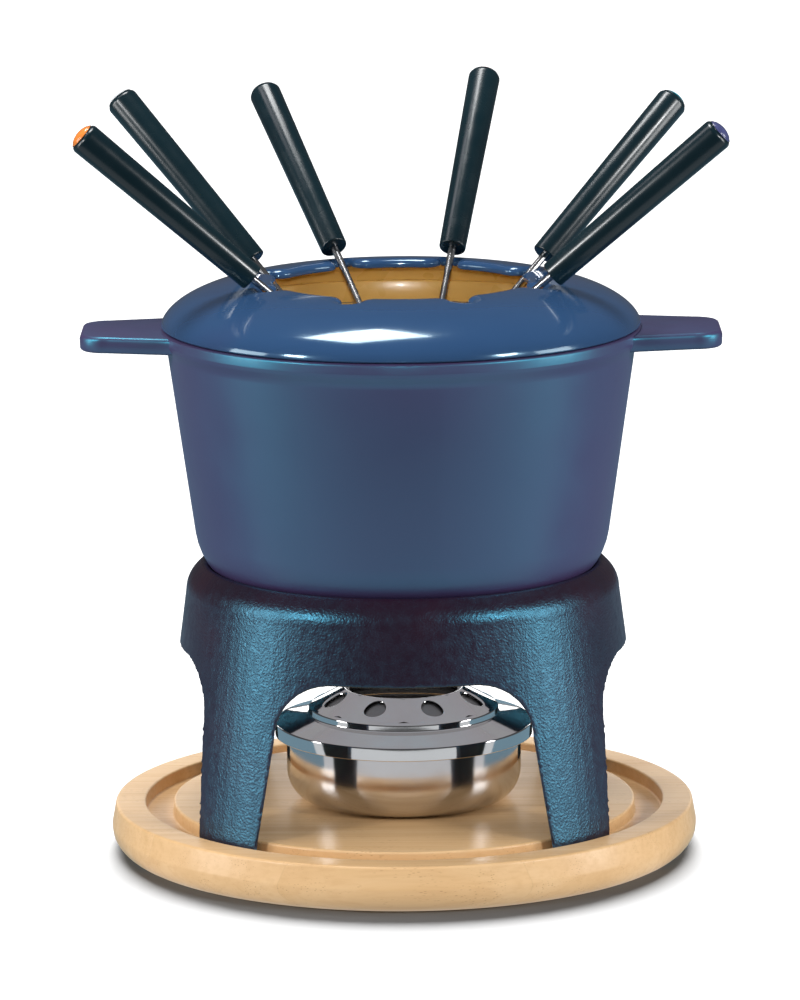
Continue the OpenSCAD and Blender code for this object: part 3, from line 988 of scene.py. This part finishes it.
def fork_prongs(rod_l):
    """The flattened end of the rod, split in two, as a thin plate with rounded edges."""
    half, slot, thick = 2.3 * MM, 0.75 * MM, 1.8 * MM
    tip, neck = 1.5 * MM, 1.5 * MM
    shoulder_z, slot_z, barb_z = 22 * MM, 20 * MM, 7.5 * MM
    sharp_turn = 1.2
    right = [
        (slot, slot_z, 0.74 * MM), (slot, 4 * MM, 2 * MM), (tip, 0, 0.15 * MM), (half - 0.2 * MM, 4 * MM, 2 * MM),
        (half - 0.5 * MM, 6.6 * MM, 0.2 * MM), (half, barb_z, 0.3 * MM), (half, shoulder_z, 4 * MM),
        (neck, ROD_JOIN, 0)]
    left = [(-x, z, fillet) for x, z, fillet in reversed(right)]
    bm = bmesh.new()
    face = bm.faces.new([bm.verts.new((p.x, -thick / 2, p.y - rod_l)) for p in rounded(left + right, 4)])
    moved = bmesh.ops.extrude_face_region(bm, geom=[face])["geom"]
    bmesh.ops.translate(bm, vec=(0, thick, 0), verts=[g for g in moved if isinstance(g, bmesh.types.BMVert)])
    bmesh.ops.recalc_face_normals(bm, faces=bm.faces)
    rim = [e for e in bm.edges if len(e.link_faces) == 2 and e.calc_face_angle(0) > sharp_turn
           and abs(e.verts[0].co.y - e.verts[1].co.y) < NEARLY_ZERO]
    bmesh.ops.bevel(bm, geom=rim, offset=0.3 * MM, segments=3, profile=0.6, affect="EDGES", clamp_overlap=True)
    mesh = bpy.data.meshes.new("prongs")
    bm.to_mesh(mesh)
    bm.free()
    smooth(mesh, 40)
    return add_object("prongs", mesh)


def marker_outline(grip_l):
    """Outline of a cap: sunk into the handle's end, with a low round crown that stands proud of it."""
    cap_r, edge_r, ball = 5.5 * MM, 0.5 * MM, 9.5 * MM
    sunk, crown = 1.3 * MM, 2.1 * MM
    steps = 9
    outline = rounded([
        (0, grip_l - sunk, 0), (cap_r, grip_l - sunk, 0), (cap_r, grip_l + 0.7 * MM, edge_r)], 4)
    edge_a = math.asin((cap_r - edge_r) / ball)
    for i in range(1, steps + 1):
        a = edge_a * (1 - i / steps)
        outline.append(Vector((ball * math.sin(a), grip_l + crown - ball + ball * math.cos(a))))
    return outline


def build_fork(k, plastic, steel, cap_material):
    """Handle, marker cap and rod of fork k. Gives back the handle."""
    where, grip_l, rod_l = fork_place(k)
    body = f"fork_{k}"
    rod_r, rod_end_r, rod_in_grip = 1.6 * MM, 1.4 * MM, 20 * MM
    pocket_r, pocket_z = 5.6 * MM, grip_l - 1.4 * MM
    grip = rounded([
        (rod_r, 3 * MM, 0), (rod_r, 0, 0.2 * MM), (5.65 * MM, 0, 0.8 * MM), (6.8 * MM, grip_l, 2.2 * MM),
        (pocket_r, grip_l, 0.15 * MM), (pocket_r, pocket_z, 0), (0, pocket_z, 0)], 6)
    handle = lathe(f"{body}_grip", grip, GRIP_TURN, closed=False, matrix=where)
    place(handle, body, [f"{body}_handle"], plastic)

    marker = lathe(f"{body}_marker", marker_outline(grip_l), CAP_TURN, closed=False, matrix=where)
    place(marker, body, [f"{body}_cap"], cap_material)

    rod = rounded([(0, rod_in_grip, 0), (rod_r, rod_in_grip, 0), (rod_r, ROD_JOIN - rod_l, 0),
                   (rod_end_r, 25 * MM - rod_l, 0.5 * MM), (0, 24 * MM - rod_l, 0)], 4)
    shaft = lathe("shaft", rod, ROD_TURN, closed=False)
    whole = join(f"{body}_tine", [shaft, fork_prongs(rod_l)])
    whole.data.transform(where)
    place(whole, body, [f"{body}_rod"], steel)
    return handle


# ---------------------------------------------------------------- stage, lights and camera

PAPER_GREY = 0.15
PAPER_HALF = 9
# The two parts of the table top that the object reflects: colour, glow, near edge, far edge.
TABLES = {
    "table_front": ((0.94, 0.97, 1, 1), 0.68, -0.43, -0.05),
    "table_back": ((0.5, 0.8, 1, 1), 0.36, -0.05, 1.3)}
TABLE_HALF = 1.2
TABLE_Z = -0.001
WORLD_COLOUR = (0.95, 0.97, 1.0, 1)
WORLD_GLOW = 0.09
WARM = (1, 0.96, 1)
CAMERA_AT = (-0.0009, -2.445, 0.620)
CAMERA_DIP = 10.943
CAMERA_ROLL = -0.4
FOCAL_PX = 5945
LONG_SIDE_PX = 1000
SENSOR_MM = 36


def build_stage():
    """White paper for the camera, and a dimmer table top for what the object reflects."""
    m = Nodes("white_paper")
    m.shade(Base_Color=(PAPER_GREY, PAPER_GREY, PAPER_GREY, 1), Roughness=1.0, Specular_IOR_Level=0.0)
    wide = (-PAPER_HALF, PAPER_HALF)
    paper = flat_piece("paper", m.material, wide, wide, 0)
    paper.visible_diffuse = False
    paper.visible_glossy = False
    for name, (colour, glow, near, far) in TABLES.items():
        m = Nodes(name)
        m.shade(Base_Color=(0, 0, 0, 1), Specular_IOR_Level=0.0, Emission_Color=colour, Emission_Strength=glow)
        table = flat_piece(name, m.material, (-TABLE_HALF, TABLE_HALF), (near, far), TABLE_Z)
        table.visible_camera = False
        table.visible_shadow = False
    return paper


def flat_piece(name, material, across, along, z):
    corners = [(x, y, z) for y in along for x in across]
    mesh = bpy.data.meshes.new(name)
    mesh.from_pydata(corners, [], [(0, 1, 3, 2)])
    mesh.materials.append(material)
    obj = add_object(name, mesh)
    return obj


def group_of(name, pieces):
    group = bpy.data.collections.new(name)
    for piece in pieces:
        group.objects.link(piece)
    return group


def aim(obj, where, target):
    obj.location = where
    obj.rotation_euler = (Vector(target) - Vector(where)).to_track_quat("-Z", "Y").to_euler()


def light_only(light, pieces, shaded_by=None):
    """Keeps a light to the given pieces, and its shadows to those of shaded_by."""
    light.light_linking.receiver_collection = group_of(light.name + "_on", pieces)
    if shaded_by:
        light.light_linking.blocker_collection = group_of(light.name + "_shade", shaded_by)


def area_light(name, where, target, size, power, colour=(1, 1, 1), pieces=None, shaded_by=None):
    """A rectangle of light, on everything or on some pieces only."""
    light = bpy.data.lights.new(name, "AREA")
    light.shape = "RECTANGLE"
    light.size, light.size_y = size
    light.energy = power
    light.color = colour
    obj = add_object(name, light)
    aim(obj, where, target)
    if pieces:
        light_only(obj, pieces, shaded_by)
    return obj


def into_pot(pieces):
    """A narrow beam from the front, through the ring's opening to the pot's back wall."""
    light = bpy.data.lights.new("into_pot", "SPOT")
    light.energy = 150
    light.spot_size = math.radians(3.3)
    light.spot_blend = 0.15
    light.shadow_soft_size = 0.05
    obj = add_object("into_pot", light)
    aim(obj, (0, -2.4, 0.70), (0, 0, 0.285))
    light_only(obj, pieces)


def paper_wash(paper, board):
    """A broad sun that whitens the paper and leaves only the board's soft shadow on it."""
    sun = bpy.data.lights.new("paper_wash", "SUN")
    sun.energy = 46
    sun.angle = math.radians(50)
    obj = add_object("paper_wash", sun)
    obj.rotation_euler = (math.radians(-52), 0, 0)
    light_only(obj, [paper], [board])


def build_lights(paper, board, lamp, grips, inside):
    """Soft studio light, then lights for one group each: the board, the lamp, the grips, the pot's inside."""
    world = bpy.data.worlds.new("studio")
    bpy.context.scene.world = world
    world.use_nodes = True
    background = world.node_tree.nodes["Background"]
    background.inputs["Color"].default_value = WORLD_COLOUR
    background.inputs["Strength"].default_value = WORLD_GLOW
    area_light("overhead", (-0.2, 0.27, 1.6), (0, 0, 0.2), (0.6, 0.45), 18)
    for side, x in (("left", -1), ("right", 1)):
        area_light(f"side_{side}", (1.5 * x, -0.35, 0.4), (0, 0, 0.15), (0.55, 0.8), 12)
        area_light(f"fill_{side}", (1.7 * x, -1.3, 1.1), (0, 0, 0.15), (0.4, 0.3), 22)
    into_pot(inside)
    area_light("behind_burner", (0, 2.0, 0.5), (0, 0, 0.3), (2.4, 0.9), 16, pieces=lamp)
    area_light("behind_wood", (0, 2.0, 0.5), (0, 0, 0.3), (2.4, 0.9), 8, pieces=[board])
    area_light("grip_soft", (-0.97, 0.1, 1.57), (0, 0, 0.28), (0.5, 0.5), 2.5, WARM, pieces=grips)
    area_light("before_wood", (0, -1.6, 0.6), (0, 0, 0), (1.2, 0.3), 1.5, pieces=[board])
    area_light("over_wood", (0, -0.4, 1.4), (0, 0, 0), (1.2, 1.2), 6, pieces=[board], shaded_by=lamp)
    under_pot = area_light("under_pot", (0, 0, 0.096), (0, 0, 0), (0.17, 0.17), 0.03, WARM, pieces=lamp)
    under_pot.visible_camera = False
    paper_wash(paper, board)


def build_camera():
    data = bpy.data.cameras.new("camera")
    data.sensor_width = SENSOR_MM
    data.lens = SENSOR_MM * FOCAL_PX / LONG_SIDE_PX
    data.clip_start = 0.1
    data.clip_end = 50
    camera = add_object("camera", data)
    dip = Matrix.Rotation(math.radians(90 - CAMERA_DIP), 4, "X")
    roll = Matrix.Rotation(math.radians(CAMERA_ROLL), 4, "Z")
    camera.matrix_world = Matrix.Translation(CAMERA_AT) @ dip @ roll
    bpy.context.scene.camera = camera


def main():
    build_camera()
    paper = build_stage()
    ochre = enamel_ochre()
    build_stand(pebbled_iron())
    inside = [build_pot(enamel_body(), ochre), build_fork_ring(enamel_blue(), ochre)]
    board = build_base(beech_wood())
    lamp = build_burner(
        polished_steel("bowl_steel", (0.70, 0.68, 0.68), 0.08, 0.15),
        polished_steel("cover_chrome", (0.8, 0.8, 0.8), 0.05, 0.1),
        polished_steel("shutter_steel", (0.3, 0.3, 0.3), 0.3, 0.45), mineral_wool(), wire_gauze())
    plastic, steel = fork_plastic(), rod_steel()
    grips = [build_fork(k, plastic, steel, cap_plastic(f"cap_{k}", CAP_COLOURS[k])) for k in FORKS]
    build_lights(paper, board, lamp, grips, inside)
    bpy.context.scene.view_settings.view_transform = "Standard"


main()
